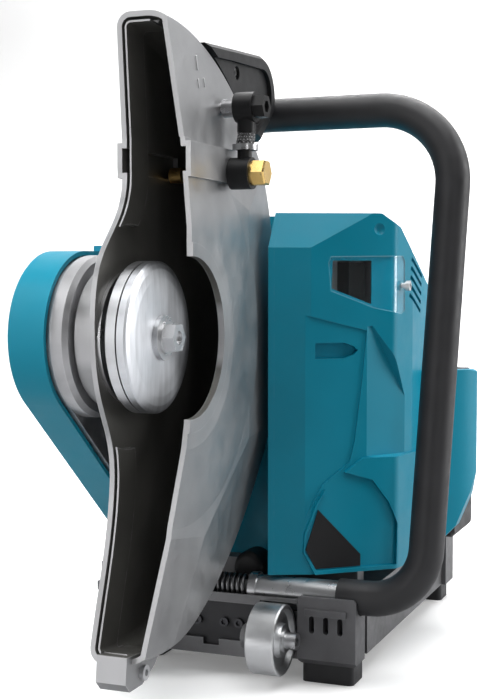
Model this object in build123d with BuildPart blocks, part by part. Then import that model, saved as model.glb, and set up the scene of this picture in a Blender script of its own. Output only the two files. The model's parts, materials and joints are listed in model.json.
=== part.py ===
"""Battery powered rescue saw for a 355 mm cut-off wheel.

The origin is on the wheel spindle, at the middle of the cutting wheel.
+X is the operator's left, the side with the clamping bolt, -Y is the cutting direction and +Z is up.
All sizes are in millimetres.
"""

from build123d import *
import math
import os

# ---------------------------------------------------------------- driving dimensions

arbor_radius = 25.4 / 2             # the wheel's bore

guard_radius = 210                  # outside of the guard's rim
guard_centre = (-10, 1)             # y and z of the rim's own centre, ahead of the spindle
guard_wall = 3.5
guard_left = -20                    # outer face of the wall beside the belt arm
guard_right = 26                    # outer face of the wall beside the clamping bolt
rim_rounding = 10                   # at the left edge of the rim
rim_shoulder = 24                   # at the right edge of the rim
hub_opening_radius = 38
swell = ((30, 72), (25.5, 130))     # (x, radius) of the cone that swells the right wall at the hub
upper_port = (76, 157)              # y and z of the two water fittings
lower_port = (70, 111)
flange_notch_radius = 53
band_height = 23                    # the raised water channel across both walls
band_centre = 116
band_length = 84
band_rise = 3.5
lip_gap = 2.2                       # groove between the guard's edge and the lip inside it
lip_thickness = 1.2
lip_depth = 25
lip_root = 13                       # how far back the groove ends

flange_radius = 50
bearing_outer_radius = 26           # a 25 x 52 x 15 ball bearing
bearing_inner_radius = 12.5
bearing_width = 15

arm_left = -52                      # belt arm plate
arm_right = -44
boss_radius = 35.95                 # the guard turns on this boss
running_gap = 0.05

cover_left = -75                    # belt cover
cover_right = -47
cover_wall = 3
cover_radius = 57

motor_axle = (236, -136)            # y and z of the motor
driven_pulley_radius = 40
drive_pulley_radius = 20
belt_width = 16
belt_thickness = 4
belt_left = -71

body_left = -44
body_bottom = -185
body_top = 88
body_wall = 3
body_split = 34                     # the seam between the two housings
body_rear = 300
ridge = (112, 200)                  # x and y of the vertical edge between front facet and side
facet_angle = 41                    # degrees from +X to the front facet
waist_turn = 17                     # degrees more that the slanted hollow below the window turns

bay_rear = 392                      # back wall of the battery bay
pack_length = 150
pack_depth = 76
pack_height = 69
pack_left = -16
pack_front = 308

rear_handle_left = -25
rear_handle_right = 9

tube_radius = 11                    # front handle tube
sleeve_radius = 13                  # with its rubber sleeve
tube_bore = 8
handle_foot = (150, -198)           # y and z of the bottom run
handle_lean = 8.42                  # degrees that the hoop leans back

ground = -264
base_top = -200
base_bottom = -248
roller_axle = (125, -229)
roller_radius = 26.4
roller_half_width = 11
roller_places = (38, -76)           # x of the two rollers

# ---------------------------------------------------------------- helpers


def turned(profile, axle=(0, 0)):
    """A piece turned about an axle parallel to X, from its (x, radius) corners."""
    centre = (0, axle[0], axle[1])
    with BuildPart() as piece:
        with BuildSketch(Plane(origin=centre, x_dir=(1, 0, 0), z_dir=(0, -1, 0))):
            with BuildLine():
                Polyline(*profile, close=True)
            make_face()
        revolve(axis=Axis(centre, (1, 0, 0)))
    return piece.part


def ring(start, end, inner, outer, axle=(0, 0)):
    """A plain ring or, with no inner radius, a disc."""
    return turned([(start, inner), (end, inner), (end, outer), (start, outer)], axle)


def across(x):
    """The plane that faces +X at x, drawn on with y and z."""
    return Plane(origin=(x, 0, 0), x_dir=(0, 1, 0), z_dir=(1, 0, 0))


def facet_point(u, z, outward=0):
    """A point on the body's front facet: u runs from the ridge towards +X and back."""
    c = math.cos(math.radians(facet_angle))
    s = math.sin(math.radians(facet_angle))
    return (ridge[0] + u * c + outward * s, ridge[1] + u * s - outward * c, z)


def facet_plane(outward=0):
    """The front facet itself, or a plane in front of it, drawn on with u and z."""
    c = math.cos(math.radians(facet_angle))
    s = math.sin(math.radians(facet_angle))
    return Plane(origin=facet_point(0, 0, outward), x_dir=(c, s, 0), z_dir=(s, -c, 0))


# ---------------------------------------------------------------- wheel guard


# creases of the right wall: direction and distance from the spindle, and the lean beyond, in degrees
guard_creases = ((0, 112, 7), (74, 115, 7), (-98, 130, 7), (-55, 128, 13))


def guard_block(inset):
    """The guard's drum as a solid; inset by the wall thickness it is the space inside."""
    centre_y, centre_z = guard_centre
    with BuildPart() as block:
        with BuildSketch(Plane.XZ.offset(-centre_y)) as section:
            with BuildLine():
                Polyline(
                    (guard_left + inset, centre_z),
                    (guard_left + inset, centre_z + guard_radius - inset),
                    (guard_right - inset, centre_z + guard_radius - inset),
                    (guard_right - inset, centre_z),
                    close=True,
                )
            make_face()
            rim_corners = section.vertices().group_by(Axis.Y)[-1].sort_by(Axis.X)
            fillet(rim_corners[0], radius=rim_rounding - inset)
            rim_corners = section.vertices().group_by(Axis.Y)[-1].sort_by(Axis.X)
            fillet(rim_corners[-1], radius=rim_shoulder - inset)
        revolve(axis=Axis((0, centre_y, centre_z), (1, 0, 0)))
        for direction, distance, lean_angle in guard_creases:
            a = math.radians(direction)
            lean_in = math.radians(lean_angle)
            normal = Vector(math.cos(lean_in), math.sin(lean_in) * math.cos(a),
                            math.sin(lean_in) * math.sin(a))
            crease = Vector(guard_right, distance * math.cos(a), distance * math.sin(a))
            split(bisect_by=Plane(origin=crease - normal * inset, z_dir=normal), keep=Keep.BOTTOM)
    return block.part


def hub_swell(inset):
    """The shallow cone that stands out of the right wall round the hub."""
    (crown, crown_radius), (skirt, skirt_radius) = swell
    return turned([(5, 0), (crown - inset, 0), (crown - inset, crown_radius),
                   (skirt - inset, skirt_radius), (5, skirt_radius)])


def mouth(set_back):
    """The room ahead of the guard's mouth: straight on the right wall, round the hub on the left."""
    with BuildPart() as room:
        with BuildSketch(Plane.YZ.offset(-12)):
            with BuildLine():
                Polyline((-260, 260), (-12, 260), (0, 130), (0, 0), (-5, -55), (-60, -260), (-260, -260),
                         close=True)
            make_face()
        extrude(amount=80)
        with BuildSketch(Plane.YZ.offset(-60)):
            with BuildLine():
                top = Polyline((-12, 260), (0, 130), (0, 112))
                hub_edge = Spline((0, 112), (-8, 82), (-37, 49), (-46, 10), (-38, -38), (-22, -72),
                                  (-22, -110), (-38, -166), (-54, -222))
                Polyline(hub_edge @ 1, (-64, -260), (-260, -260), (-260, 260), top @ 0)
            make_face()
        extrude(amount=48)
    return room.part.moved(Location((0, set_back, 0)))


def lip_layer(outer, inner, front):
    """A thin skin inside the guard's left edge, from a set-back to the lip's full depth."""
    with BuildPart() as layer:
        add(guard_block(outer))
        add(guard_block(inner), mode=Mode.SUBTRACT)
        split(bisect_by=Plane.YZ.offset(4), keep=Keep.BOTTOM)
        add(mouth(lip_depth), mode=Mode.INTERSECT)
        if front:
            add(mouth(front), mode=Mode.SUBTRACT)
        add(ring(-60, 60, 0, 74), mode=Mode.SUBTRACT)
    return layer.part


with BuildPart() as guard_shell:
    add(guard_block(0))
    # raised water channel over both walls, and the raised edge round the flange notch
    with BuildSketch(Plane.YZ.offset(guard_left - band_rise)):
        with Locations((0, band_centre)):
            Rectangle(2 * band_length, band_height)
    extrude(amount=guard_right - guard_left + 2 * band_rise)
    add(hub_swell(0))
    add(ring(swell[0][0] - 1, swell[0][0] + 1, flange_notch_radius - 2, flange_notch_radius + 9))
    add(guard_block(guard_wall), mode=Mode.SUBTRACT)
    add(hub_swell(guard_wall), mode=Mode.SUBTRACT)
    with BuildSketch(Plane.YZ.offset(guard_left)):
        with Locations((0, band_centre)):
            Rectangle(2 * (band_length - guard_wall), band_height - 2 * guard_wall)
    extrude(amount=guard_right - guard_left, mode=Mode.SUBTRACT)
    # hub opening, and the notch that leaves room for the flanges
    add(ring(guard_left - 5, 0, 0, hub_opening_radius), mode=Mode.SUBTRACT)
    add(ring(5, guard_right + 8, 0, flange_notch_radius), mode=Mode.SUBTRACT)
    # the lip that stands behind the left edge, then the mouth itself
    lip_inside = guard_wall + lip_gap + lip_thickness
    add(lip_layer(guard_wall + lip_gap, lip_inside, 0))
    add(lip_layer(guard_wall - 0.5, lip_inside, lip_root))
    add(mouth(0), mode=Mode.SUBTRACT)
    # the nose lug below the mouth
    with BuildSketch(Plane.YZ.offset(-13)):
        with BuildLine():
            Polyline((-52, -199), (-54, -216), (-48, -222), (-30, -222), (-12, -214), (-2, -206),
                     (-20, -202), close=True)
        make_face()
    extrude(amount=21)
    with Locations(Location((0, -30, -214), (0, 90, 0))):
        Cylinder(3.2, 60, mode=Mode.SUBTRACT)
    # holes for the two water fittings
    for port in (upper_port, lower_port):
        with Locations(Location((20, *port), (0, 90, 0))):
            Cylinder(4.2, 40, mode=Mode.SUBTRACT)

with BuildPart() as guard_collar:
    add(ring(-33, guard_left, 36, 46))
    chamfer(guard_collar.edges().group_by(Axis.X)[0].sort_by(SortBy.RADIUS)[-1], length=2)

with BuildPart() as guard_retainer:
    add(ring(guard_left + guard_wall + running_gap, guard_left + guard_wall + 2.5, 30, 43.8))

with BuildPart() as guard_grip:
    with BuildSketch(Plane.YZ.offset(-15)) as grip_side:
        with BuildLine():
            Polyline((40, 180), (40, 199), (100, 203), (196, 209), (191, 168), (160, 142), close=True)
        make_face()
        for corner, radius in (((40, 199), 12), ((196, 209), 30), ((191, 168), 12)):
            fillet(grip_side.vertices().sort_by_distance((*corner, 0))[0], radius=radius)
    extrude(amount=32)
    chamfer(guard_grip.edges().filter_by(Plane.YZ), length=2.5)
    # the sunk web inside the grip's border
    with BuildSketch(Plane.YZ.offset(14)) as grip_web:
        with BuildLine():
            Polyline((66, 192), (104, 194.5), (185, 198), (181, 170), (150, 146), close=True)
        make_face()
        fillet(grip_web.vertices().sort_by_distance((185, 198, 0))[0], radius=18)
        fillet(grip_web.vertices().sort_by_distance((181, 170, 0))[0], radius=8)
    extrude(amount=10, mode=Mode.SUBTRACT)
    add(ring(-40, 40, 0, guard_radius + 0.01, guard_centre), mode=Mode.SUBTRACT)
    for y, z in ((118, 188), (158, 160)):
        add(ring(8, 20, 0, 5, (y, z)), mode=Mode.SUBTRACT)
        add(ring(-14, 20, 0, 2.4, (y, z)), mode=Mode.SUBTRACT)


def cap_screw(x, y, z, head_radius, head_height, length, towards=1):
    """A socket cap screw whose head sits on x and whose shank runs away from it along X."""
    with BuildPart() as screw:
        with Locations(Location((x + towards * head_height / 2, y, z), (0, 90, 0))):
            Cylinder(head_radius, head_height)
        with Locations(Location((x - towards * length / 2, y, z), (0, 90, 0))):
            Cylinder(head_radius * 0.55, length)
        socket_depth = head_height * 0.6
        with BuildSketch(across(x + towards * (head_height - socket_depth))):
            with Locations((y, z)):
                RegularPolygon(head_radius * 0.5, 6)
        extrude(amount=towards * socket_depth, mode=Mode.SUBTRACT)
    return screw.part


def group(solids):
    """Separate solids that share one node."""
    return Compound(children=solids)


guard_screws = group([cap_screw(8, 118, 188, 4.2, 4, 20), cap_screw(8, 158, 160, 4.2, 4, 20),
                      cap_screw(8, -30, -214, 5, 3, 19)])

# ---------------------------------------------------------------- water fittings on the guard

with BuildPart() as hose_elbow:
    with Locations(Location((38, *upper_port), (0, 90, 0))):
        Cylinder(10.5, 14)
    with BuildSketch(across(44)):
        with Locations(upper_port):
            RegularPolygon(8.5, 6)
    extrude(amount=9)
    with BuildSketch(across(49)):
        with Locations(upper_port):
            RegularPolygon(4.5, 6)
    extrude(amount=5, mode=Mode.SUBTRACT)
    with Locations((38, upper_port[0], upper_port[1] - 12)):
        Cylinder(6.5, 10)

with BuildPart() as banjo:
    add(ring(guard_right + band_rise, 33, 4.3, 11, lower_port))
    add(ring(33, 45, 4.3, 11, lower_port))
    with Locations((39, lower_port[0], lower_port[1] + 12)):
        Cylinder(5, 8)
    add(ring(28, 50, 0, 4.3, lower_port), mode=Mode.SUBTRACT)

with BuildPart() as banjo_bolt:
    add(ring(15, 45, 0, 4.1, lower_port))
    add(ring(45, 47, 0, 8.5, lower_port))
    with BuildSketch(across(47)):
        with Locations(lower_port):
            RegularPolygon(9.5, 6)
    extrude(amount=9)
    chamfer(banjo_bolt.faces().sort_by(Axis.X)[-1].edges(), length=1)

with BuildPart() as water_hose:
    with BuildLine() as hose_path:
        Spline((38, upper_port[0], upper_port[1] - 17.1), (39, lower_port[0], lower_port[1] + 16.1),
               tangents=[(0, 0, -1), (0, 0, -1)])
    with BuildSketch(Plane(origin=hose_path.line @ 0, z_dir=hose_path.line % 0)):
        Circle(6.2)
    sweep()

with BuildPart() as hose_clamp:
    with Locations((39, lower_port[0] + 1, lower_port[1] + 17.9)):
        Cylinder(9.1, 4)
        Cylinder(8.2, 5, mode=Mode.SUBTRACT)

water_nozzles = group([ring(guard_left + guard_wall, guard_left + guard_wall + 9, 0, 5.5, lower_port),
                       turned([(12, 0), (30.9, 0), (30.9, 6.5), (21.4, 6.5), (21.4, 4.1), (12, 4.1)],
                              upper_port)])

# ---------------------------------------------------------------- spindle and flanges

spindle_shaft = turned([
    (-70, 0), (8, 0), (8, arbor_radius - 4), (-1, arbor_radius - 4), (-1, arbor_radius),
    (-9, arbor_radius), (-9, bearing_inner_radius), (-52, bearing_inner_radius), (-52, 11), (-70, 11),
])

inner_flange = turned([
    (-14, arbor_radius), (-0.5, arbor_radius), (-0.5, flange_radius),
    (-7, flange_radius), (-9, flange_radius - 3), (-9, 22), (-14, 20),
])
outer_flange = turned([
    (0.5, arbor_radius - 4), (9, arbor_radius - 4), (9, 17), (8.8, 30), (8.3, 39), (7.5, 45),
    (6.5, 48.4), (5.4, flange_radius), (0.5, flange_radius),
])

flange_washer = ring(9, 12, 4.5, 15)

with BuildPart() as flange_bolt:
    add(ring(8.2, 12, 0, 4.3))
    add(ring(12, 13.5, 0, 11))
    with BuildSketch(across(13.5)):
        RegularPolygon(10, 6)
    extrude(amount=7.5)
    add(ring(19, 22, 0, 4.5), mode=Mode.SUBTRACT)

driven_pulley = turned([
    (belt_left - 1, 11.05), (-53.5, 11.05), (-53.5, driven_pulley_radius + 2),
    (-54.5, driven_pulley_radius + 2), (-54.5, driven_pulley_radius),
    (belt_left, driven_pulley_radius), (belt_left, driven_pulley_radius + 2),
    (belt_left - 1, driven_pulley_radius + 2),
])


def bearing(start, axle, bore, outside, width):
    """A ball bearing as three pieces: inner ring, outer ring and its balls."""
    pitch = (bore + outside) / 2
    gap = outside - bore
    ball = gap * 0.24
    middle = start + width / 2
    groove = ring(middle - ball * 1.1, middle + ball * 1.1, pitch - ball * 1.1, pitch + ball * 1.1, axle)
    with BuildPart() as inner:
        add(ring(start, start + width, bore, bore + gap * 0.25, axle))
        add(groove, mode=Mode.SUBTRACT)
    with BuildPart() as outer:
        add(ring(start, start + width, outside - gap * 0.25, outside, axle))
        add(groove, mode=Mode.SUBTRACT)
    with BuildPart() as balls:
        with Locations(Plane(origin=(middle, axle[0], axle[1]), x_dir=(0, 1, 0), z_dir=(1, 0, 0))):
            with PolarLocations(pitch, 9):
                Sphere(ball)
    return inner.part, outer.part, balls.part


spindle_sets = [bearing(x, (0, 0), bearing_inner_radius, bearing_outer_radius, bearing_width)
                for x in (-50, -33)]
spindle_bearing_inners = group([piece for inner, outer, balls in spindle_sets for piece in (inner, balls)])
spindle_bearing_outers = group([outer for inner, outer, balls in spindle_sets])

# ---------------------------------------------------------------- belt arm, cover and belt

motor_y, motor_z = motor_axle


def arm_outline(inset):
    """Side outline of the belt case: round about the spindle, then down and back to the motor."""
    fall = math.radians(40)
    bottom = -183
    lower = (-cover_radius * math.sin(fall), -cover_radius * math.cos(fall))
    heel = (lower[0] + (lower[1] - bottom) / math.tan(fall), bottom)
    rear = motor_axle[0] + 48
    tail = (rear, bottom)
    nape = (rear, motor_axle[1] + 55)
    shoulder = (rear - 20, motor_axle[1] + 92)
    with BuildSketch() as outline:
        with BuildLine():
            Polyline((0, cover_radius), (92, cover_radius), (120, 46), shoulder, nape, tail, heel, lower)
            ThreePointArc(lower, (-cover_radius, 0), (0, cover_radius))
        make_face()
        fillet(outline.vertices().sort_by_distance(tail)[0], radius=42)
        fillet(outline.vertices().sort_by_distance(nape)[0], radius=18)
        fillet(outline.vertices().sort_by_distance(shoulder)[0], radius=14)
        fillet(outline.vertices().sort_by_distance(heel)[0], radius=30)
        if inset:
            offset(amount=-inset)
    return outline.sketch


def slab(side, start, end):
    """A plate with this side outline between two X planes."""
    with BuildPart() as plate:
        add(across(start) * side)
        extrude(amount=end - start, dir=(1, 0, 0))
    return plate.part


with BuildPart() as belt_arm:
    add(slab(arm_outline(cover_wall + 1), arm_left, arm_right))
    # round seat for the guard, and the bearing boss
    add(turned([(arm_right, 0), (-33, 0), (-33, 51), (-36, 54), (arm_right, 54)]))
    add(ring(-33, guard_left + guard_wall + running_gap, 0, boss_radius))
    add(ring(-50, 0, 0, bearing_outer_radius), mode=Mode.SUBTRACT)
    add(ring(-60, 0, 0, 18), mode=Mode.SUBTRACT)
    # clearance for the motor shaft and the lightening pocket between the axles
    add(ring(-60, 0, 0, 24, motor_axle), mode=Mode.SUBTRACT)

with BuildPart() as belt_cover:
    # the outer edge is drawn in with three small steps
    for setback, reach in ((3, 0), (1.5, 0.8), (0, 2.4)):
        add(slab(arm_outline(setback), cover_left + reach, cover_right))
    # raised pad over the belt adjuster
    with BuildSketch(Plane.YZ.offset(cover_left + 2)):
        with Locations((76, 56)):
            Rectangle(34, 12)
    extrude(amount=cover_right - cover_left - 4)
    add(slab(arm_outline(cover_wall), cover_left + cover_wall, 0), mode=Mode.SUBTRACT)

cover_screw_places = [(20, 44), (100, 36), (262, -80), (60, -105), (150, -168), (-38, 22)]
with BuildPart() as cover_screws:
    with BuildSketch(Plane.YZ.offset(cover_left - 2.5)):
        with Locations(*cover_screw_places):
            Circle(4.5)
    extrude(amount=2.5)
    with BuildSketch(Plane.YZ.offset(cover_left - 2.5)):
        with Locations(*cover_screw_places):
            RegularPolygon(2.2, 6)
    extrude(amount=1.5, mode=Mode.SUBTRACT)


def belt_face(clearance):
    """The area inside a belt that runs round both pulleys at this distance from them."""
    with BuildSketch() as face:
        Circle(driven_pulley_radius + clearance)
        with Locations(motor_axle):
            Circle(drive_pulley_radius + clearance)
        make_hull()
    return face.sketch


with BuildPart() as drive_belt:
    add(slab(belt_face(running_gap + belt_thickness), belt_left + 0.2, belt_left + 0.2 + belt_width))
    add(slab(belt_face(running_gap), belt_left - 1, 0), mode=Mode.SUBTRACT)

# ---------------------------------------------------------------- motor

drive_pulley = turned([
    (belt_left - 1, 6.05), (-53.5, 6.05), (-53.5, drive_pulley_radius + 2),
    (-54.5, drive_pulley_radius + 2), (-54.5, drive_pulley_radius),
    (belt_left, drive_pulley_radius), (belt_left, drive_pulley_radius + 2),
    (belt_left - 1, drive_pulley_radius + 2),
], motor_axle)
motor_shaft = turned([(belt_left - 1, 0), (96, 0), (96, 6), (80, 6), (80, 24), (50, 24), (50, 6),
                      (belt_left - 1, 6)], motor_axle)
with BuildPart() as cooling_fan:
    add(ring(40, 42, 6, 36, motor_axle))
    add(ring(40, 48, 6, 12, motor_axle))
    with Locations(Plane(origin=(45, *motor_axle), x_dir=(0, 1, 0), z_dir=(1, 0, 0))):
        with PolarLocations(24, 11):
            Box(22, 1.6, 7)
with BuildPart() as stator:
    add(ring(49, 84, 24.6, 39, motor_axle))
    with Locations(Plane(origin=(66, *motor_axle), x_dir=(0, 1, 0), z_dir=(1, 0, 0))):
        with PolarLocations(29, 6, start_angle=30):
            Box(6, 4, 42, mode=Mode.SUBTRACT)
motor_case = turned([(28, 17), (28, 20), (34, 20), (34, 43), (96, 43), (96, 17), (88, 17), (88, 20),
                     (93, 20), (93, 39), (37, 39), (37, 17)], motor_axle)
motor_bearings = group([ring(x, x + 8, 6 + running_gap, 17, motor_axle) for x in (28, 88)])

# ---------------------------------------------------------------- body housings


# planes that shape the body's top: a point on each, its heading from -Y towards +X, and its lean upward
bevels = (((59, 154, 61.6), 25, 28), ((117, 230, 60), 106, 28), ((92, 230, 88), 106, 55))


def bevel_planes(inset):
    """The body's top bevels, or the same planes moved in by a wall thickness."""
    planes = []
    for point, heading, upward in bevels:
        h = math.radians(heading)
        u = math.radians(upward)
        normal = Vector(math.sin(h) * math.cos(u), -math.cos(h) * math.cos(u), math.sin(u))
        planes.append(Plane(origin=Vector(*point) - normal * inset, z_dir=normal))
    return planes


def waist_room(inset):
    """The slanted hollow that takes the ridge off the front of the body below the window."""
    a = math.radians(facet_angle + waist_turn)
    start = facet_point(-24, 0)
    plane = Plane(origin=(start[0] - inset * math.sin(a), start[1] + inset * math.cos(a), 0),
                  x_dir=(math.cos(a), math.sin(a), 0), z_dir=(math.sin(a), -math.cos(a), 0))
    with BuildPart() as room:
        with BuildSketch(plane):
            with BuildLine():
                Polyline((-6, 2 + inset), (4, 2 + inset), (30 + inset, -38 + inset),
                         (62 + inset, -90 + inset),
                         (62 + inset, -97 - inset), (-14, -97 - inset), (-14, -40), close=True)
            make_face()
        extrude(amount=30, taper=-24)
    return room.part


def body_block(inset):
    """The body as a solid with its seam in it; inset by the wall it is the space inside."""
    with BuildPart() as block:
        with BuildSketch(Plane.XY.offset(body_bottom + inset)) as plan:
            with BuildLine():
                Polyline((body_left, 208.5), (30, 208.5), (30, 140.5), (59, 154), ridge, (117, 232),
                         (117, body_rear), (body_left, body_rear), close=True)
            make_face()
            if inset:
                offset(amount=-inset, kind=Kind.INTERSECTION)
            fillet(plan.vertices().sort_by_distance((*ridge, 0))[0], radius=9)
        extrude(amount=body_top - body_bottom - 2 * inset)
        for plane in bevel_planes(inset):
            split(bisect_by=plane, keep=Keep.BOTTOM)
        add(waist_room(inset), mode=Mode.SUBTRACT)
    return block.part


def facet_cut(corners, depth, outward=20):
    """A prism that cuts through the front facet to a depth, from its (u, z) corners."""
    with BuildPart() as cut:
        with BuildSketch(facet_plane(outward)):
            with BuildLine():
                Polyline(*corners, close=True)
            make_face()
        extrude(amount=-(outward + depth))
    return cut.part


window_corners = [(-54, 55), (-56, 50), (-54, 29), (-18, 16), (8, 11), (13, 14), (13, 52), (10, 56)]
view_corners = [(-52, 52), (-53, 31), (-20, 19), (-20, 52)]
cover_thickness = 1.6
pad_corners = [(-35, -103), (-57, -118), (-67, -133), (-75, -153), (-76, -168), (-67, -185), (62, -185),
               (62, -98), (-28, -98)]
recess_corners = [(-57, -117), (-44, -108), (-20, -115), (-6, -133), (2, -150), (1, -182), (-66, -182),
                  (-75, -167), (-73, -153), (-66, -135)]
plate_corners = [(-64, -136), (-29, -172), (-29, -181), (-66, -181), (-74, -166)]
slot_back_corners = [(-69, -7), (-41, -7), (-31, -11), (-27, -16), (-31, -21), (-41, -25), (-69, -25)]
slot_corners = [(-66, -10), (-42, -10), (-34, -13), (-31, -16), (-34, -19), (-42, -22), (-66, -22)]
step_corners = [(-100, 12), (-78, 12), (-24, -1), (-28, -40), (-34, -86), (-38, -101), (-60, -117),
                (-69, -132), (-78, -153), (-80, -170), (-100, -170)]


def body_skin(corners, outer, inner):
    """A layer of the body's own surface within a facet outline."""
    with BuildPart() as skin:
        add(body_block(outer))
        add(body_block(inner), mode=Mode.SUBTRACT)
        add(facet_cut(corners, 16), mode=Mode.INTERSECT)
    return skin.part


with BuildPart() as housing:
    add(body_block(0))
    # the shell's cavity, open at the rear where the battery bay closes it
    add(body_block(body_wall), mode=Mode.SUBTRACT)
    # belt side boss that carries the motor shaft through to the belt case
    add(ring(arm_right, 30, 0, 27, motor_axle))
    add(ring(arm_right - 1, 60, 0, 24, motor_axle), mode=Mode.SUBTRACT)
    # seat of the clear cover, the opening behind it, and the shallow step on the front
    add(body_skin(window_corners, 0, cover_thickness), mode=Mode.SUBTRACT)
    add(facet_cut(view_corners, 8), mode=Mode.SUBTRACT)
    add(facet_cut(step_corners, 1.2), mode=Mode.SUBTRACT)
    # finger dimple above the window
    with Locations(facet_point(-14, 76, 4)):
        Sphere(6, mode=Mode.SUBTRACT)
    # cooling slots on the side
    for row in range(6):
        with Locations(Location((117, 246 - row, 54 - row * 7), (-24, 0, 0))):
            Box(12, 34, 3.2, mode=Mode.SUBTRACT)
    add(ring(100, 125, 0, 2.3, (212, 33)), mode=Mode.SUBTRACT)

with BuildPart() as lower_pad:
    add(body_block(-2.5))
    add(body_block(0), mode=Mode.SUBTRACT)
    add(facet_cut(pad_corners, 60), mode=Mode.INTERSECT)
    split(bisect_by=Plane.XZ.offset(-255), keep=Keep.TOP)
    split(bisect_by=Plane.XY.offset(body_bottom), keep=Keep.TOP)
    split(bisect_by=Plane.YZ.offset(body_split), keep=Keep.TOP)
    add(facet_cut(recess_corners, 2), mode=Mode.SUBTRACT)

with BuildPart() as right_housing:
    add(housing.part)
    split(bisect_by=Plane.YZ.offset(body_split), keep=Keep.TOP)
    add(lower_pad.part)
    add(facet_cut(slot_back_corners, 9, -1.5))
    add(facet_cut(slot_corners, 6), mode=Mode.SUBTRACT)
with BuildPart() as left_housing:
    add(housing.part)
    split(bisect_by=Plane.YZ.offset(body_split), keep=Keep.BOTTOM)

with BuildPart() as name_plate:
    add(facet_cut(plate_corners, -0.01, 0.8))

with BuildPart() as window_cover:
    add(body_skin(window_corners, 0.02, cover_thickness - 0.02))
    add(ring(100, 125, 0, 2.3, (212, 33)), mode=Mode.SUBTRACT)

with BuildPart() as window_tray:
    add(facet_cut([(-58, 56), (-58, 26), (-18, 12), (-12, 12), (-12, 56)], 34, -3.4))
    add(facet_cut([(-55, 53), (-55, 29), (-18, 15), (-15, 15), (-15, 53)], 31, -3.4), mode=Mode.SUBTRACT)
with BuildPart() as plug_module:
    add(facet_cut([(-36, 51), (-36, 25), (-23, 21), (-23, 51)], 30, -8))

with BuildPart() as rear_panel:
    with BuildSketch(Plane.XY.offset(body_bottom)):
        with BuildLine():
            front_edge = Spline((117.1, 262), (138, 276), (154, 303), tangents=[(1, 0.2), (0.15, 1)])
            Polyline(front_edge @ 1, (149.5, 304), (134, 281), (117.1, 268), front_edge @ 0)
        make_face()
    extrude(amount=149)
    # the outer edge is rounded at the top and drawn in towards the ground
    with BuildSketch(Plane.XZ.offset(-340)) as panel_front:
        with BuildLine():
            Polyline((100, -186), (122, -186), (142, -164), (151, -138), (157, -105), (157, -36),
                     (100, -36), close=True)
        make_face()
        fillet(panel_front.vertices().sort_by_distance((157, -36))[0], radius=9)
    extrude(amount=100, mode=Mode.INTERSECT)

# ---------------------------------------------------------------- battery bay and packs

with BuildPart() as electronics_space:
    with Locations((34.5, 346, 20)):
        Box(149, 80, 108)
    for plane in bevel_planes(4):
        split(bisect_by=plane, keep=Keep.BOTTOM)

with BuildPart() as battery_bay:
    with BuildSketch(Plane.YZ.offset(body_left)):
        with BuildLine():
            Polyline((body_rear, body_bottom), (bay_rear, body_bottom), (bay_rear, 70), (372, 84),
                     (body_rear, 84), close=True)
        make_face()
    extrude(amount=117 - body_left)
    for plane in bevel_planes(0):
        split(bisect_by=plane, keep=Keep.BOTTOM)
    # the bay for two packs, open towards +X
    with BuildSketch(Plane.YZ.offset(pack_left - 12)):
        with Locations((pack_front + pack_depth / 2, body_bottom + 3 + 72)):
            Rectangle(pack_depth + 2, 144)
    extrude(amount=200, mode=Mode.SUBTRACT)
    add(electronics_space.part, mode=Mode.SUBTRACT)
    with Locations((60, bay_rear, 40)):
        Cylinder(8 + running_gap, 9, rotation=(90, 0, 0), mode=Mode.SUBTRACT)

with BuildPart() as controller:
    with Locations((30, 344, 10)):
        Box(110, 60, 34)
    for fin in range(9):
        with Locations((-14 + fin * 11, 344, 31)):
            Box(3, 56, 8)


def battery_pack(bottom):
    """A battery pack that slides into the bay along X, with a seat for its latch."""
    with BuildPart() as pack:
        with Locations((pack_left + pack_length / 2, pack_front + 1 + (pack_depth - 2) / 2,
                        bottom + pack_height / 2)):
            Box(pack_length, pack_depth - 2, pack_height)
        fillet(pack.edges().filter_by(Axis.X), radius=8)
        chamfer(pack.faces().sort_by(Axis.X)[-1].edges(), length=3)
        with Locations((pack_left + pack_length - 5, pack_front + 38, bottom + 48)):
            Box(14, 34, 14, mode=Mode.SUBTRACT)
    return pack.part


def pack_latch(bottom):
    """The button that lets a pack go."""
    with BuildPart() as latch:
        with Locations((pack_left + pack_length - 4, pack_front + 38, bottom + 48)):
            Box(7, 33.6, 13.6)
        fillet(latch.faces().sort_by(Axis.X)[-1].edges(), radius=1.5)
    return latch.part


lower_floor = body_bottom + 4
upper_floor = lower_floor + 72
lower_battery = battery_pack(lower_floor)
upper_battery = battery_pack(upper_floor)
lower_battery_latch = pack_latch(lower_floor)
upper_battery_latch = pack_latch(upper_floor)

# ---------------------------------------------------------------- rear handle

handle_middle = (rear_handle_left + rear_handle_right) / 2


def rounded_loop(corners):
    """A closed outline whose (y, z, radius) corners are rounded."""
    with BuildSketch() as loop:
        with BuildLine():
            Polyline(*[corner[:2] for corner in corners], close=True)
        make_face()
        for y, z, radius in corners:
            if radius:
                fillet(loop.vertices().sort_by_distance((y, z))[0], radius=radius)
    return loop.sketch


def handle_side(inset):
    """Side outline of the rear handle with its hand opening."""
    with BuildSketch() as opening:
        add(rounded_loop([(420, 46, 12), (572, 52, 30), (588, -20, 100), (560, -138, 40), (420, -146, 12)]))
        if inset:
            offset(amount=inset)
    with BuildSketch() as side:
        add(rounded_loop([(bay_rear, 74, 0), (438, 90, 30), (608, 90, 42), (624, -20, 140),
                          (590, -178, 60), (bay_rear, -184, 0)]))
        if inset:
            offset(amount=-inset)
        add(opening.sketch, mode=Mode.SUBTRACT)
    return side.sketch


trigger_pivot = (436, 58)
lever_pivot = (536, 82)


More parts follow.
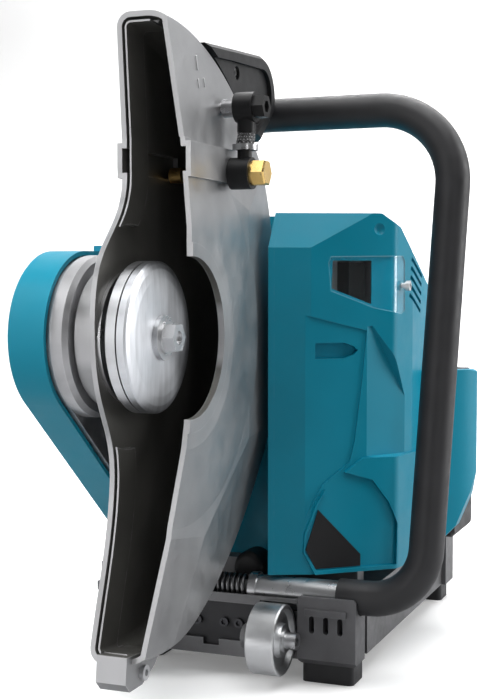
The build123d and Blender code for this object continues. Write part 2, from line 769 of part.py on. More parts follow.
def handle_half(start, end, hollow_start, hollow_end):
    """One half shell of the rear handle, hollow towards the seam and slotted for its controls."""
    with BuildPart() as half:
        add(slab(handle_side(0), start, end))
        add(slab(handle_side(handle_wall), hollow_start, hollow_end), mode=Mode.SUBTRACT)
        with BuildSketch(across(handle_middle - 8)):
            with Locations((466, 48), (504, 92)):
                Rectangle(76, 18)
        extrude(amount=16, mode=Mode.SUBTRACT)
    return half.part


handle_wall = 3
past_seam = 1                       # the hollow is cut this far past the seam
rear_handle_left_half = handle_half(rear_handle_left, handle_middle,
                                    rear_handle_left + handle_wall, handle_middle + past_seam)
rear_handle_right_half = handle_half(handle_middle, rear_handle_right,
                                     handle_middle - past_seam, rear_handle_right - handle_wall)

handle_pins = group([ring(rear_handle_left + 3, rear_handle_right - 3, 0, 2, pivot)
                     for pivot in (trigger_pivot, lever_pivot)])

with BuildPart() as trigger:
    with BuildSketch(across(handle_middle - 7)):
        with BuildLine():
            Polyline((429, 64), (444, 64), (450, 56), (500, 56), (500, 52), (488, 32), (462, 29),
                     (446, 40), (429, 50), close=True)
        make_face()
        with Locations(trigger_pivot):
            Circle(2.05, mode=Mode.SUBTRACT)
    extrude(amount=14)
with BuildPart() as lock_off_lever:
    with BuildSketch(across(handle_middle - 6)):
        with BuildLine():
            Polyline((542, 78), (542, 86), (520, 89), (478, 97), (470, 95), (470, 84), (530, 78), close=True)
        make_face()
        with Locations(lever_pivot):
            Circle(2.05, mode=Mode.SUBTRACT)
    extrude(amount=12)
with BuildPart() as switch_box:
    with Locations((handle_middle, 468, 70.5)):
        Box(20, 32, 7)

# ---------------------------------------------------------------- front handle

foot_y, foot_z = handle_foot
lean = math.radians(handle_lean)
hoop_plane = Plane(origin=(0, foot_y, foot_z), x_dir=(1, 0, 0),
                   z_dir=(0, -math.cos(lean), math.sin(lean)))
hoop_height = 369
hoop_left = -36


def hoop_path(start, end_height):
    """Centre line of the front handle from its foot, up the side and over to the left leg."""
    with BuildLine(hoop_plane) as path:
        Polyline((start, 0), (147, 0), (158, hoop_height), (hoop_left, hoop_height),
                 (hoop_left, end_height))
        for corner, radius in (((147, 0), 40), ((158, hoop_height), 58), ((hoop_left, hoop_height), 42)):
            place = hoop_plane.from_local_coords(Vector(*corner))
            fillet(path.vertices().sort_by_distance(place)[0], radius=radius)
    return path.wire()


def hoop(start, end_height, inner, outer):
    """A tube along the handle's centre line."""
    path = hoop_path(start, end_height)
    with BuildPart() as tube:
        with BuildSketch(Plane(origin=path @ 0, z_dir=path % 0)):
            Circle(outer)
            Circle(inner, mode=Mode.SUBTRACT)
        sweep(path=path)
    return tube.part


leg_end = 300
with BuildPart() as handle_tube:
    add(hoop(20, leg_end, tube_bore, tube_radius))
    add(ring(14, 20, tube_bore, tube_radius + 1.5, handle_foot))
handle_sleeve = hoop(84, leg_end + 8, tube_radius, sleeve_radius)
with BuildPart() as handle_spring:
    with BuildLine() as coil:
        Helix(pitch=4, height=24, radius=9, center=(-12, foot_y, foot_z), direction=(1, 0, 0))
    with BuildSketch(Plane(origin=coil.line @ 0, z_dir=coil.line % 0)):
        Circle(1.3)
    sweep(path=coil.line)

with BuildPart() as leg_pad:
    with Locations((hoop_left, 222, body_top + 3.2)):
        Box(28, 82, 6.2)
    fillet(leg_pad.edges().filter_by(Axis.Z), radius=6)
with BuildPart() as body_buffer:
    with Locations(Location((2.5, 180, -187.5), (90, 0, 0))):
        Cylinder(12.5, 23.9)
    fillet(body_buffer.faces().sort_by(Axis.Y)[0].edges(), radius=5)
handle_dampers = group([leg_pad.part, body_buffer.part])

# ---------------------------------------------------------------- base, rollers and feet

block_left = 56
block_right = 101
block_top = -197
front_face = 134                    # y of the front of the base
base_left = -112
rail_width = 22


def roller_space(x):
    """The room a roller and its bolt need in the front beam."""
    return ring(x - roller_half_width - 1, x + 22, 0, roller_radius + 1.2, roller_axle)


with BuildPart() as base_frame:
    with BuildSketch(Plane.XY.offset(base_bottom)):
        with Locations(((base_left + block_left) / 2, front_face + 23)):
            Rectangle(block_left - base_left - 1, 46)
        for x in (base_left + rail_width / 2, block_right - rail_width / 2 - 4):
            with Locations((x, 315)):
                Rectangle(rail_width, 274)
        with Locations(((base_left + block_right) / 2, 440)):
            Rectangle(block_right - base_left, 30)
    extrude(amount=base_top - base_bottom)
    with BuildSketch(Plane.XY.offset(base_top)):
        with Locations((base_left + 7, front_face + 23), (-50, 440), (block_right - 19, 380), (-104, 300)):
            Rectangle(14, 30)
    extrude(amount=14)
    # cross bars up to the body
    with Locations((25, 200, -197), (25, 300, -197)):
        Box(120, 16, 23.9)
    with Locations((-10, 200, -227), (-10, 300, -227)):
        Box(190, 16, 36)
    # seat for the spring and the handle's foot, and the rod that guides them
    add(ring(-14, block_left + 40, 0, 14.5, handle_foot), mode=Mode.SUBTRACT)
    add(ring(-30, -14, 0, 12, handle_foot))
    add(ring(-20, 44, 0, 6, handle_foot))
    # the long sunk panel of the front beam, and the notch in its lower lip
    with Locations((-32, front_face + 2, -221.5)):
        Box(164, 4, 29, mode=Mode.SUBTRACT)
    with Locations((-14, front_face + 2, -237)):
        Box(13, 4, 8, mode=Mode.SUBTRACT)
    for x in roller_places:
        add(roller_space(x), mode=Mode.SUBTRACT)
        # the lug that takes the roller's bolt
        add(ring(x - 21, x - roller_half_width - 0.5, 0, 9, roller_axle))
        with Locations((x - 16.2, 133, roller_axle[1])):
            Box(9.5, 14, 18)
        add(ring(x - 30, x + 12, 0, 4.05, roller_axle), mode=Mode.SUBTRACT)

with BuildPart() as base_block:
    with Locations(((block_left + block_right) / 2, front_face + 12, (base_bottom + block_top) / 2)):
        Box(block_right - block_left, 24, block_top - base_bottom)
    chamfer(base_block.edges().filter_by(Axis.Y), length=2)
    front_edges = base_block.faces().sort_by(Axis.Y)[0].edges().filter_by(Axis.X).sort_by(Axis.Z)
    chamfer(front_edges[0], length=4)
    # raised bar and three slots in the front, and the seat of the handle's foot
    with Locations((78, front_face - 1, -208.5)):
        Box(32, 2, 5)
    with BuildSketch(Plane.XZ.offset(-front_face)):
        for step in range(3):
            with Locations((67 + step * 11, -218)):
                SlotOverall(13, 4.2, rotation=90)
    extrude(amount=-10, mode=Mode.SUBTRACT)
    add(ring(0, 200, 0, 13.6, handle_foot), mode=Mode.SUBTRACT)

with BuildPart() as plate_screws:
    for x in (-26, -4, 8):
        with Locations((x, front_face + 2.5, -223)):
            Cylinder(3.6, 3, rotation=(90, 0, 0))
        with BuildSketch(Plane.XZ.offset(-1 - front_face)):
            with Locations((x, -223)):
                RegularPolygon(2.1, 6)
        extrude(amount=-2, mode=Mode.SUBTRACT)

small_screws = group([plate_screws.part, cap_screw(117, 212, 33, 4, 3, 8)])

foot_places = ((76, 158), (-90, 178), (-90, 440), (76, 440))
with BuildPart() as rubber_feet:
    for place in foot_places:
        with BuildSketch(Plane.XY.offset(ground)):
            with Locations(place):
                RectangleRounded(40, 28, 4)
        extrude(amount=base_bottom - ground)

def roller(x):
    """A steel roller with a thin web and a hub."""
    edge = roller_half_width
    return turned([(x - edge, 4.2), (x + edge, 4.2), (x + edge, 12), (x + 7, 13),
                   (x + 7, 21), (x + edge - 2, 22),
                   (x + edge, 23), (x + edge, 25.4), (x + edge - 1, roller_radius),
                   (x - edge + 1, roller_radius), (x - edge, 25.4)], roller_axle)


rollers = [roller(x) for x in roller_places]


def roller_bolt(x):
    """The cap screw a roller turns on, with the washer under its head."""
    seat = x + roller_half_width + 0.1
    with BuildPart() as bolt:
        add(ring(seat, seat + 2, 0, 8.5, roller_axle))
        add(cap_screw(seat + 2, *roller_axle, 6.2, 8, 2))
        add(ring(x - 20, seat + 1, 0, 4, roller_axle))
    return bolt.part


roller_bolts = group([roller_bolt(x) for x in roller_places])

# ---------------------------------------------------------------- buttons

with BuildPart() as power_button:
    with Locations((60, bay_rear + 0.5, 40)):
        Cylinder(8, 6, rotation=(90, 0, 0))
    fillet(power_button.faces().sort_by(Axis.Y)[-1].edges(), radius=1)


pieces = {
    "guard_shell": guard_shell.part,
    "guard_collar": guard_collar.part,
    "guard_retainer": guard_retainer.part,
    "guard_grip": guard_grip.part,
    "guard_screws": guard_screws,
    "hose_elbow": hose_elbow.part,
    "banjo": banjo.part,
    "banjo_bolt": banjo_bolt.part,
    "water_hose": water_hose.part,
    "hose_clamp": hose_clamp.part,
    "water_nozzles": water_nozzles,
    "spindle_shaft": spindle_shaft,
    "inner_flange": inner_flange,
    "outer_flange": outer_flange,
    "flange_washer": flange_washer,
    "flange_bolt": flange_bolt.part,
    "driven_pulley": driven_pulley,
    "spindle_bearing_inners": spindle_bearing_inners,
    "spindle_bearing_outers": spindle_bearing_outers,
    "belt_arm": belt_arm.part,
    "belt_cover": belt_cover.part,
    "cover_screws": cover_screws.part,
    "drive_belt": drive_belt.part,
    "drive_pulley": drive_pulley,
    "motor_shaft": motor_shaft,
    "cooling_fan": cooling_fan.part,
    "stator": stator.part,
    "motor_case": motor_case,
    "motor_bearings": motor_bearings,
    "right_housing": right_housing.part,
    "left_housing": left_housing.part,
    "name_plate": name_plate.part,
    "window_cover": window_cover.part,
    "window_tray": window_tray.part,
    "plug_module": plug_module.part,
    "rear_panel": rear_panel.part,
    "battery_bay": battery_bay.part,
    "controller": controller.part,
    "lower_battery": lower_battery,
    "upper_battery": upper_battery,
    "lower_battery_latch": lower_battery_latch,
    "upper_battery_latch": upper_battery_latch,
    "rear_handle_left_half": rear_handle_left_half,
    "rear_handle_right_half": rear_handle_right_half,
    "handle_pins": handle_pins,
    "trigger": trigger.part,
    "lock_off_lever": lock_off_lever.part,
    "switch_box": switch_box.part,
    "handle_tube": handle_tube.part,
    "handle_sleeve": handle_sleeve,
    "handle_spring": handle_spring.part,
    "handle_dampers": handle_dampers,
    "base_frame": base_frame.part,
    "base_block": base_block.part,
    "small_screws": small_screws,
    "rubber_feet": rubber_feet.part,
    "right_roller": rollers[0],
    "left_roller": rollers[1],
    "roller_bolts": roller_bolts,
    "power_button": power_button.part,
}
os.makedirs("parts", exist_ok=True)
for label, piece in pieces.items():
    piece.label = label
    export_step(piece, f"parts/{label}.step")
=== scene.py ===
"""The finished look of the rescue saw: materials, the guard's raised marks, floor, light and camera.

Lengths are in metres. The origin is on the wheel spindle, -Y is the cutting direction and +Z is up.
"""

import bpy
import bmesh
import json
import math
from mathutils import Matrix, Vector


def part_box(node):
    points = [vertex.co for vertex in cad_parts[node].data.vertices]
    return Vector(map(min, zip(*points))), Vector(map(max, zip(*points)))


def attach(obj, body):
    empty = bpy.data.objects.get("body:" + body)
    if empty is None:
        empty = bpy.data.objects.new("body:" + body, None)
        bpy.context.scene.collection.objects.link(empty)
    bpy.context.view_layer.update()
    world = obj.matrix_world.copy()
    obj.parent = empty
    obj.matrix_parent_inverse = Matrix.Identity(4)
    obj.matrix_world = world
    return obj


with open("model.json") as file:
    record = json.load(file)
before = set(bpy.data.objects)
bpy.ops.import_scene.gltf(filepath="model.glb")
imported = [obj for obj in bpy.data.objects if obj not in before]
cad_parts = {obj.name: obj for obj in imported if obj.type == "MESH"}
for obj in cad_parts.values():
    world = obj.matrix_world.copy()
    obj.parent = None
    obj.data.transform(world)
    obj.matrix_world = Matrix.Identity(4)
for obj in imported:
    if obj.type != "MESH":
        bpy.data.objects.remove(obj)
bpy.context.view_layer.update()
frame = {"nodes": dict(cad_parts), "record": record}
nodes = frame["nodes"]

# depths of the surface texture that the finishes raise, in metres
MOULD_GRAIN = 0.00005
RUBBER_GRAIN = 0.00006
CAST_GRAIN = 0.00012
LATHE_RINGS = 0.000006
HANDLING_MARKS = 0.000008

# ---------------------------------------------------------------- node graph helpers


class Graph:
    """A material's node graph, with short calls for the nodes that the finishes share."""

    def __init__(self, name):
        self.material = bpy.data.materials.new(name)
        self.material.use_nodes = True
        self.tree = self.material.node_tree
        self.shader = self.tree.nodes["Principled BSDF"]
        self.place = self.node("ShaderNodeTexCoord").outputs["Object"]
        self.height = None

    def node(self, kind, **settings):
        made = self.tree.nodes.new(kind)
        for key, value in settings.items():
            setattr(made, key, value)
        return made

    def feed(self, value, socket):
        """Joins an output to a socket, or sets the socket to a plain value."""
        if isinstance(value, bpy.types.NodeSocket):
            self.tree.links.new(value, socket)
        else:
            socket.default_value = value

    def math(self, operation, a, b=0.0, c=0.0, clamp=False):
        made = self.node("ShaderNodeMath", operation=operation, use_clamp=clamp)
        for value, socket in zip((a, b, c), made.inputs):
            self.feed(value, socket)
        return made.outputs[0]

    def split(self, vector):
        """The x, y and z of a vector."""
        made = self.node("ShaderNodeSeparateXYZ")
        self.feed(vector, made.inputs[0])
        return made.outputs

    def join(self, x, y, z):
        made = self.node("ShaderNodeCombineXYZ")
        for value, socket in zip((x, y, z), made.inputs):
            self.feed(value, socket)
        return made.outputs[0]

    def streaks(self, value, scale):
        """Noise that changes along one number only, such as a radius."""
        made = self.node("ShaderNodeTexNoise", noise_dimensions="1D")
        self.feed(value, made.inputs["W"])
        made.inputs["Scale"].default_value = scale
        return made.outputs["Fac"]

    def vector_math(self, operation, a, b=(0, 0, 0)):
        made = self.node("ShaderNodeVectorMath", operation=operation)
        self.feed(a, made.inputs[0])
        self.feed(b, made.inputs[1])
        return made.outputs["Value"] if operation in ("DOT_PRODUCT", "LENGTH") else made.outputs[0]

    def noise(self, scale, detail=3.0, stretch=(1, 1, 1), roughness=0.5):
        """Soft noise; scale is in features per metre."""
        mapping = self.node("ShaderNodeMapping")
        self.feed(self.place, mapping.inputs["Vector"])
        mapping.inputs["Scale"].default_value = stretch
        made = self.node("ShaderNodeTexNoise")
        self.feed(mapping.outputs[0], made.inputs["Vector"])
        made.inputs["Scale"].default_value = scale
        made.inputs["Detail"].default_value = detail
        made.inputs["Roughness"].default_value = roughness
        return made.outputs["Fac"]

    def ramp(self, value, low, high, start=0.0, end=1.0):
        """Maps value from low..high to start..end and holds it there."""
        made = self.node("ShaderNodeMapRange")
        for number, socket in zip((value, low, high, start, end), made.inputs):
            self.feed(number, socket)
        return made.outputs[0]

    def mix(self, factor, a, b):
        """Blends two colours."""
        made = self.node("ShaderNodeMix", data_type="RGBA")
        self.feed(factor, made.inputs[0])
        self.feed(a, made.inputs[6])
        self.feed(b, made.inputs[7])
        return made.outputs[2]

    def edges(self, radius):
        """1 on sharp edges within the radius, 0 on flat faces."""
        bevel = self.node("ShaderNodeBevel", samples=4)
        bevel.inputs["Radius"].default_value = radius
        geometry = self.node("ShaderNodeNewGeometry")
        facing = self.vector_math("DOT_PRODUCT", bevel.outputs[0], geometry.outputs["Normal"])
        return self.ramp(facing, 0.99, 0.86)

    def bump(self, value, depth, strength=1.0):
        """Adds a height map of this depth, in metres, on top of earlier ones."""
        made = self.node("ShaderNodeBump")
        made.inputs["Strength"].default_value = strength
        made.inputs["Distance"].default_value = depth
        self.feed(value, made.inputs["Height"])
        if self.height is not None:
            self.feed(self.height, made.inputs["Normal"])
        self.height = made.outputs[0]

    def finish(self, colour, roughness, metallic=0.0, **extra):
        self.feed(colour, self.shader.inputs["Base Color"])
        self.feed(roughness, self.shader.inputs["Roughness"])
        self.feed(metallic, self.shader.inputs["Metallic"])
        for key, value in extra.items():
            self.feed(value, self.shader.inputs[key.replace("_", " ")])
        if self.height is not None:
            self.feed(self.height, self.shader.inputs["Normal"])
        return self.material


def shade(colour, amount):
    """The same colour, lighter or darker."""
    return tuple(channel * amount for channel in colour[:3]) + (1,)


# ---------------------------------------------------------------- finishes


def moulded_plastic(name, colour, roughness):
    """Fine spark-eroded moulding texture, slight colour drift and paler rubbed edges."""
    g = Graph(name)
    drift = g.ramp(g.noise(9), 0.35, 0.65)
    tint = g.mix(drift, shade(colour, 0.93), shade(colour, 1.06))
    worn = g.math("MULTIPLY", g.edges(0.0012), g.ramp(g.noise(160), 0.4, 0.7), clamp=True)
    pale = tuple(0.75 * channel + 0.12 for channel in colour[:3]) + (1,)
    g.bump(g.noise(2600, 2), MOULD_GRAIN, 0.5)
    rough = g.ramp(g.noise(70), 0.3, 0.7, roughness - 0.05, roughness + 0.06)
    return g.finish(g.mix(g.math("MULTIPLY", worn, 0.2), tint, pale), rough, Specular_IOR_Level=0.28)


def rubber(name, colour, roughness):
    """Soft dark rubber with a fine open grain."""
    g = Graph(name)
    tint = g.mix(g.ramp(g.noise(60), 0.3, 0.7), shade(colour, 0.8), shade(colour, 1.25))
    g.bump(g.noise(3200, 3), RUBBER_GRAIN, 0.6)
    rough = g.ramp(g.noise(120), 0.3, 0.7, roughness - 0.08, roughness + 0.08)
    return g.finish(tint, rough)


def turned_steel(name, colour, roughness):
    """Machined metal: fine lathe rings round the X axis and light handling marks."""
    g = Graph(name)
    rings = g.streaks(g.split(g.place)[0], 1400)
    smear = g.noise(40, 3)
    tint = g.mix(g.ramp(smear, 0.3, 0.7), shade(colour, 0.9), shade(colour, 1.05))
    g.bump(rings, LATHE_RINGS, 0.4)
    g.bump(g.noise(420, 2), HANDLING_MARKS, 0.3)
    rough = g.ramp(g.noise(120, 2), 0.3, 0.7, roughness - 0.04, roughness + 0.07)
    return g.finish(tint, rough, 1.0)


def faced_zinc(name, colour, roughness):
    """The clamping flanges: faced on a lathe, with mottled zinc plating and fine scratches."""
    g = Graph(name)
    _, y, z = g.split(g.place)
    rings = g.streaks(g.vector_math("LENGTH", g.join(0.0, y, z)), 900)
    brushed = g.noise(22, 3, (1, 9, 1))
    smudge = g.noise(16, 4)
    tone = g.math("ADD", g.math("MULTIPLY", brushed, 0.4), g.math("MULTIPLY", smudge, 0.6))
    tint = g.mix(g.ramp(tone, 0.38, 0.62), shade(colour, 0.7), shade(colour, 1.06))
    g.bump(rings, HANDLING_MARKS, 0.4)
    g.bump(g.noise(400, 2, (1, 1, 6)), HANDLING_MARKS, 0.3)
    rough = g.ramp(smudge, 0.3, 0.7, roughness - 0.04, roughness + 0.12)
    return g.finish(tint, rough, 1.0)


def cast_metal(name, colour, roughness, metallic=1.0):
    """Sand-cast surface with rubbed, paler edges; a low metallic value reads as paint."""
    g = Graph(name)
    tint = g.mix(g.ramp(g.noise(30, 4), 0.3, 0.7), shade(colour, 0.82), shade(colour, 1.1))
    edge = g.edges(0.0012)
    g.bump(g.noise(750, 4), CAST_GRAIN, 0.5)
    rough = g.ramp(g.noise(140, 3), 0.3, 0.7, roughness - 0.06, roughness + 0.1)
    return g.finish(g.mix(g.math("MULTIPLY", edge, 0.6), tint, shade(colour, 1.6)), rough, metallic)


def sunk_paint(name, colour, front, depth, top):
    """Satin grey with a darker coat on a sunk panel, which lies behind front and below top."""
    g = Graph(name)
    _, y, z = g.split(g.place)
    behind = g.math("GREATER_THAN", y, front)
    shallow = g.math("LESS_THAN", y, front + depth)
    low = g.math("LESS_THAN", z, top)
    sunk = g.math("MULTIPLY", g.math("MULTIPLY", behind, shallow), low)
    tint = g.mix(g.ramp(g.noise(30, 4), 0.3, 0.7), shade(colour, 0.82), shade(colour, 1.1))
    tint = g.mix(g.math("MULTIPLY", g.edges(0.0012), 0.5), tint, shade(colour, 1.7))
    tint = g.mix(g.math("MULTIPLY", sunk, 0.85), tint, (0.014, 0.014, 0.016, 1))
    g.bump(g.noise(750, 4), CAST_GRAIN, 0.5)
    return g.finish(tint, g.ramp(g.noise(140, 3), 0.3, 0.7, 0.38, 0.52), 0.55)


def guard_paint(name):
    """Satin grey paint outside, coloured darker inside as painted shade for the drum's hollow, with the
    cut edges of the mouth left bright.
    """
    g = Graph(name)
    _, y, z = g.split(g.place)
    # a point on the drum's middle line, between here and the axle: inside faces look towards it
    middle = g.join(0.003, g.math("MULTIPLY", y, 0.6), g.math("MULTIPLY", z, 0.6))
    away = g.vector_math("SUBTRACT", g.place, middle)
    turn = g.node("ShaderNodeVectorTransform", vector_type="NORMAL",
                  convert_from="WORLD", convert_to="OBJECT")
    g.feed(g.node("ShaderNodeNewGeometry").outputs["Normal"], turn.inputs[0])
    normal = turn.outputs[0]
    inside = g.ramp(g.vector_math("DOT_PRODUCT", normal, away), 0.001, -0.001)
    cut = g.ramp(g.split(normal)[1], -0.9, -0.96)
    paint = g.mix(g.ramp(g.noise(14, 4), 0.3, 0.7), (0.29, 0.293, 0.3, 1), (0.38, 0.384, 0.39, 1))
    # painted shade: the inside faces take a much darker grey than the paint outside
    inside_shade_tone = g.mix(g.ramp(g.noise(20, 4), 0.3, 0.7), (0.12, 0.118, 0.11, 1), (0.17, 0.167, 0.155, 1))
    tint = g.mix(inside, paint, inside_shade_tone)
    edge = g.math("MULTIPLY", g.edges(0.0015), g.ramp(g.noise(90), 0.35, 0.6))
    bright = g.math("MAXIMUM", cut, g.math("MULTIPLY", edge, 0.8))
    tint = g.mix(bright, tint, (0.5, 0.5, 0.51, 1))
    g.bump(g.noise(1100, 3), 0.00008, 0.5)
    rough = g.ramp(g.noise(60, 3), 0.3, 0.7, 0.34, 0.46)
    return g.finish(tint, rough, g.ramp(inside, 0, 1, 0.75, 0.35))


def clear_window(name):
    """Clear moulded plastic that lets the lamps light what stands behind it. Its edges are tinted a deeper
    cyan and glow faintly: a painted highlight of light caught in the edges.
    """
    g = Graph(name)
    g.bump(g.noise(500, 2), 0.00003, 0.3)
    edge = g.edges(0.001)
    # painted highlight: the edge mask tints the edges a deeper cyan and, below, makes them glow faintly as
    # if lit
    tint = g.mix(edge, (0.86, 0.92, 0.93, 1), (0.8, 0.97, 1, 1))
    painted_edge_glow = g.math("MULTIPLY", edge, 0.25)
    g.finish(tint, g.ramp(g.noise(90), 0.3, 0.7, 0.03, 0.09), Transmission_Weight=1.0, IOR=1.46,
             Emission_Color=(0.55, 0.85, 0.9, 1), Emission_Strength=painted_edge_glow)
    through = g.node("ShaderNodeMixShader")
    g.feed(g.node("ShaderNodeLightPath").outputs["Is Shadow Ray"], through.inputs[0])
    g.feed(g.shader.outputs[0], through.inputs[1])
    g.feed(g.node("ShaderNodeBsdfTransparent").outputs[0], through.inputs[2])
    g.feed(through.outputs[0], g.tree.nodes["Material Output"].inputs["Surface"])
    return g.material


def two_metals(name, lower, upper, height, roughness):
    """Machined fittings that share a node: one metal below this height and another above it."""
    g = Graph(name)
    above = g.ramp(g.split(g.place)[2], height - 0.001, height + 0.001)
    wear = g.ramp(g.noise(90, 3), 0.3, 0.7)
    tint = g.mix(above, g.mix(wear, shade(lower, 0.85), lower), g.mix(wear, shade(upper, 0.85), upper))
    g.bump(g.noise(500, 2, (4, 1, 1)), HANDLING_MARKS, 0.4)
    return g.finish(tint, g.ramp(g.noise(120), 0.3, 0.7, roughness - 0.04, roughness + 0.07), 1.0)


def braided_hose(name, axis_x, axis_y):
    """Black hose with a woven cover: two sets of slanted strands that cross."""
    g = Graph(name)
    x, y, z = g.split(g.place)
    x = g.math("SUBTRACT", x, axis_x)
    y = g.math("SUBTRACT", y, axis_y)
    strands = 6.0
    strand_rise = 1500.0
    angle = g.math("MULTIPLY", g.math("ARCTAN2", y, x), strands)
    rise = g.math("MULTIPLY", z, strand_rise)
    left = g.math("SINE", g.math("ADD", angle, rise))
    right = g.math("SINE", g.math("SUBTRACT", angle, rise))
    weave = g.math("MAXIMUM", left, right)
    fleck = g.math("GREATER_THAN", g.math("MULTIPLY", left, right), 0.72)
    tint = g.mix(fleck, (0.013, 0.013, 0.014, 1), (0.3, 0.3, 0.31, 1))
    g.bump(weave, 0.0004, 0.8)
    g.bump(g.noise(3000, 2), 0.00005, 0.5)
    return g.finish(tint, g.ramp(g.noise(300), 0.3, 0.7, 0.4, 0.55))


teal = (0.0005, 0.27, 0.4)
finishes = {
    "guard_paint": guard_paint("guard_paint"),
    "machined_steel": turned_steel("machined_steel", (0.60, 0.605, 0.615), 0.3),
    "bright_zinc": faced_zinc("bright_zinc", (0.66, 0.68, 0.71), 0.34),
    "cast_aluminium": cast_metal("cast_aluminium", (0.42, 0.42, 0.43), 0.42),
    "base_paint": sunk_paint("base_paint", (0.15, 0.15, 0.155), 0.1355, 0.004, -0.2065),
    "black_plastic": moulded_plastic("black_plastic", (0.012, 0.012, 0.013), 0.45),
    "latch_plastic": moulded_plastic("latch_plastic", (0.06, 0.06, 0.065), 0.5),
    "teal_plastic": moulded_plastic("teal_plastic", teal, 0.4),
    "clear_plastic": clear_window("clear_plastic"),
    "black_rubber": rubber("black_rubber", (0.016, 0.016, 0.018), 0.5),
    "brass": turned_steel("brass", (0.80, 0.55, 0.20), 0.28),
    "spring_steel": turned_steel("spring_steel", (0.16, 0.16, 0.165), 0.35),
    "motor_iron": cast_metal("motor_iron", (0.12, 0.12, 0.12), 0.55),
}

special = {
    "water_nozzles": two_metals("nozzle_metals", (0.80, 0.52, 0.19, 1), (0.45, 0.45, 0.46, 1), 0.134, 0.3),
    "water_hose": braided_hose("braided_hose", 0.039, 0.0703),
    "base_block": cast_metal("block_paint", (0.13, 0.13, 0.137), 0.5, 0.3),
    "small_screws": two_metals("screw_metals", (0.07, 0.07, 0.075, 1), (0.7, 0.71, 0.72, 1), -0.1, 0.35),
    "window_tray": moulded_plastic("tray_plastic", (0.42, 0.43, 0.44), 0.45),
    "inner_flange": faced_zinc("flange_steel", (0.66, 0.67, 0.69), 0.34),
    "left_roller": turned_steel("roller_steel", (0.78, 0.79, 0.8), 0.36),
}
special["right_roller"] = special["left_roller"]
for entry in frame["record"]["subparts"]:
    piece = nodes[entry["node"]]
    piece.data.materials.clear()
    piece.data.materials.append(special.get(entry["node"]) or finishes[entry["material_slot"]])

# ---------------------------------------------------------------- fine raised marks on the guard


def guard_dashes():
    """Three short raised dashes on the guard's right wall, with softly rounded ends."""
    shell = nodes["guard_shell"]
    work = bmesh.new()
    half_width = 0.0007
    corners = 12
    for y, z, half_length in ((0.037, 0.183, 0.0045), (0.036, 0.169, 0.0025), (0.047, 0.171, 0.0025)):
        _, place, normal, _ = shell.ray_cast(Vector((0.1, y, z)), Vector((-1, 0, 0)))
        up = (Vector((0, 0, 1)) - normal * normal.z).normalized()
        side = up.cross(normal)
        rings = []
        for rise, grow in ((-0.001, 1.25), (0.0004, 1.0), (0.0008, 0.6)):
            outline = []
            for step in range(corners):
                a = 2 * math.pi * step / corners
                along = math.copysign(half_length, math.cos(a)) + half_width * grow * math.cos(a)
                across = half_width * grow * math.sin(a)
                outline.append(work.verts.new(place + normal * rise + up * along + side * across))
            rings.append(outline)
        for low, high in zip(rings, rings[1:]):
            for step in range(corners):
                after = (step + 1) % corners
                work.faces.new((low[step], low[after], high[after], high[step]))
        work.faces.new(rings[-1])
    mesh = bpy.data.meshes.new("guard_dashes")
    bmesh.ops.recalc_face_normals(work, faces=work.faces)
    work.to_mesh(mesh)
    work.free()
    dashes = bpy.data.objects.new("guard_dashes", mesh)
    bpy.context.collection.objects.link(dashes)
    mesh.materials.append(finishes["machined_steel"])
    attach(dashes, "wheel_guard")


guard_dashes()

# ---------------------------------------------------------------- floor, light and camera

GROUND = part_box("rubber_feet")[0][2]


def stage_floor():
    """A wide pale floor that rises behind the saw into a plain backdrop."""
    mesh = bpy.data.meshes.new("floor")
    work = bmesh.new()
    half_width = 6
    front = -4.0
    back = 2.2
    curve = 1.2
    profile = [(front, 0.0), (back, 0.0)]
    profile += [(back + curve * math.sin(a), curve - curve * math.cos(a))
                for a in (math.radians(5 * step) for step in range(1, 19))]
    profile.append((back + curve, 5.0))
    rows = [[work.verts.new((x, y, GROUND + z)) for x in (-half_width, half_width)] for y, z in profile]
    for low, high in zip(rows, rows[1:]):
        work.faces.new((low[0], low[1], high[1], high[0]))
    work.to_mesh(mesh)
    work.free()
    floor = bpy.data.objects.new("floor", mesh)
    bpy.context.collection.objects.link(floor)
    for polygon in mesh.polygons:
        polygon.use_smooth = True
    # pale to the camera, but held back in what it throws on the saw
    g = Graph("pale_floor")
    rays = g.node("ShaderNodeLightPath").outputs
    tone = g.mix(g.ramp(g.noise(3), 0.3, 0.7), (0.9, 0.9, 0.9, 1), (0.94, 0.94, 0.94, 1))
    tone = g.mix(rays["Is Glossy Ray"], tone, (0.5, 0.5, 0.51, 1))
    tone = g.mix(rays["Is Diffuse Ray"], tone, (0.2, 0.2, 0.2, 1))
    glow = g.math("MULTIPLY", rays["Is Camera Ray"], 0.16)
    mesh.materials.append(g.finish(tone, 0.8, Emission_Color=(1, 1, 1, 1), Emission_Strength=glow))


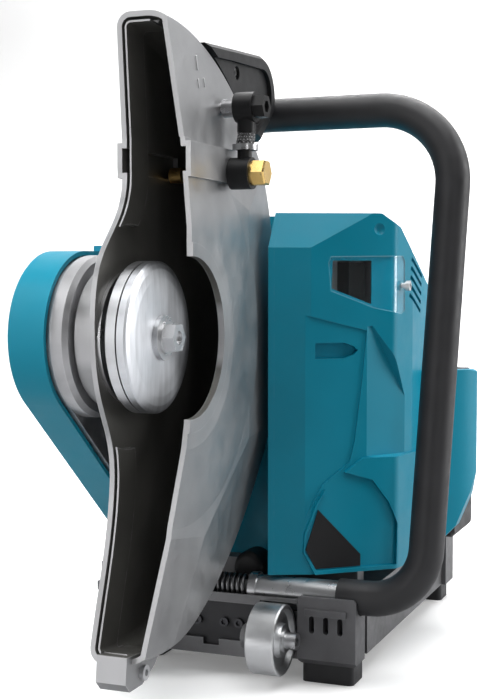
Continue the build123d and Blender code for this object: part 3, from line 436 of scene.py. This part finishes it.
def soft_light(name, place, target, size, power, tint=(1, 1, 1)):
    data = bpy.data.lights.new(name, "AREA")
    data.shape = "RECTANGLE"
    data.size, data.size_y = size
    data.energy = power
    data.color = tint
    lamp = bpy.data.objects.new(name, data)
    lamp.location = place
    lamp.rotation_euler = (Vector(target) - Vector(place)).to_track_quat("-Z", "Y").to_euler()
    bpy.context.collection.objects.link(lamp)


def studio():
    """White beyond the floor, a dim room in front, and large soft boxes at the top and both sides."""
    world = bpy.data.worlds.new("studio")
    world.use_nodes = True
    tree = world.node_tree
    seen = tree.nodes.new("ShaderNodeLightPath").outputs["Is Camera Ray"]
    level = tree.nodes.new("ShaderNodeMapRange")
    tree.links.new(seen, level.inputs[0])
    level.inputs[3].default_value = 0.08
    level.inputs[4].default_value = 1.0
    tree.nodes["Background"].inputs[0].default_value = (1, 1, 1, 1)
    tree.links.new(level.outputs[0], tree.nodes["Background"].inputs[1])
    bpy.context.scene.world = world
    centre = (0, 0.2, 0)
    soft_light("top_light", (0.1, 0.3, 2.1), centre, (2.0, 1.6), 44)
    soft_light("left_light", (-1.9, -0.7, 0.7), centre, (0.8, 1.9), 42)
    soft_light("right_light", (1.9, 1.1, 0.8), centre, (1.0, 2.0), 34)
    soft_light("left_strip", (-0.9, -2.2, 0.6), centre, (0.22, 1.8), 8)
    soft_light("right_strip", (1.5, -1.7, 0.5), centre, (0.15, 1.8), 4)
    soft_light("floor_wash", (0, 2.4, 2.8), (0, 3.0, 0), (3.5, 1.5), 150)
    soft_light("floor_front", (0, -0.9, 2.2), (0, -0.6, 0), (3.0, 0.8), 24)


def photo_camera():
    """A low camera ahead of the saw and to its clamp side, looking a little down and across."""
    heading = math.radians(21.83)
    tilt = math.radians(3.1)
    level = math.cos(tilt)
    look = Vector((-math.sin(heading) * level, math.cos(heading) * level, -math.sin(tilt)))
    data = bpy.data.cameras.new("photo_camera")
    data.lens = 68
    data.clip_start = 0.05
    camera = bpy.data.objects.new("photo_camera", data)
    camera.location = (0.3771, -0.7826, 0.0389)
    camera.rotation_euler = look.to_track_quat("-Z", "Y").to_euler()
    bpy.context.collection.objects.link(camera)
    bpy.context.scene.camera = camera
    bpy.context.scene.view_settings.view_transform = "Standard"


stage_floor()
studio()
photo_camera()
